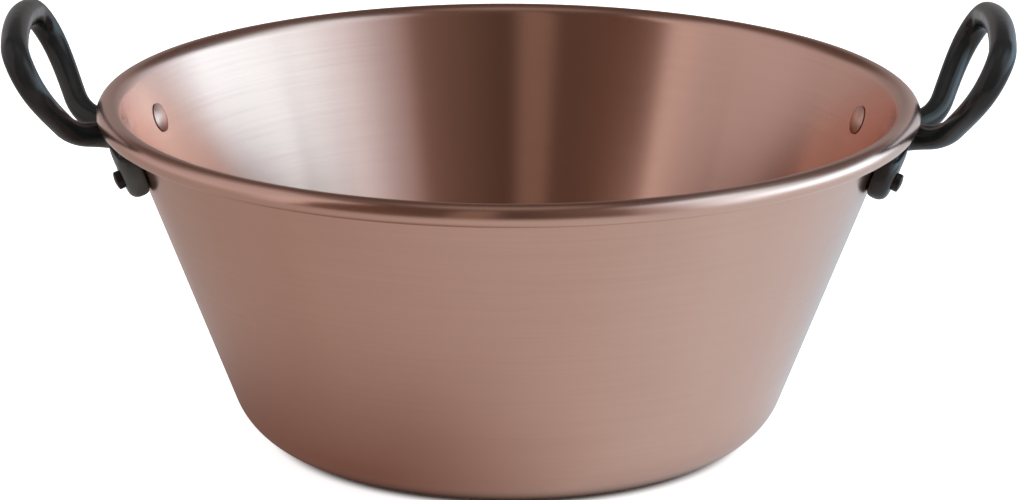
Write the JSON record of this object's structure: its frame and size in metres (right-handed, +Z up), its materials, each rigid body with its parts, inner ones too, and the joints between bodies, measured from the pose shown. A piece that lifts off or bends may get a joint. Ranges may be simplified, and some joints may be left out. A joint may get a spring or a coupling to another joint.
{
  "type": "jam pan",
  "caption": "Wide flared copper pan with a rolled, wired rim and a riveted cast iron loop handle on each side, for boiling jam.",
  "frame": {"origin": "centre of the flat underside", "axes": "+Z up, +X through the middle of the right handle, +Y to the back"},
  "size_m": [0.4634, 0.3798, 0.2014],
  "materials": {
    "copper_sheet": "satin, finely brushed round the pan",
    "steel_wire": "plain drawn",
    "black_iron": "gloss black",
    "copper_rivet": "satin inside, blackened outside"
  },
  "bodies": {
    "root": {"pan_body": "copper_sheet", "rim_wire": "steel_wire", "handle_left": "black_iron", "handle_right": "black_iron", "rivet_left_front": "copper_rivet", "rivet_left_back": "copper_rivet", "rivet_right_front": "copper_rivet", "rivet_right_back": "copper_rivet"}
  },
  "joints": []
}
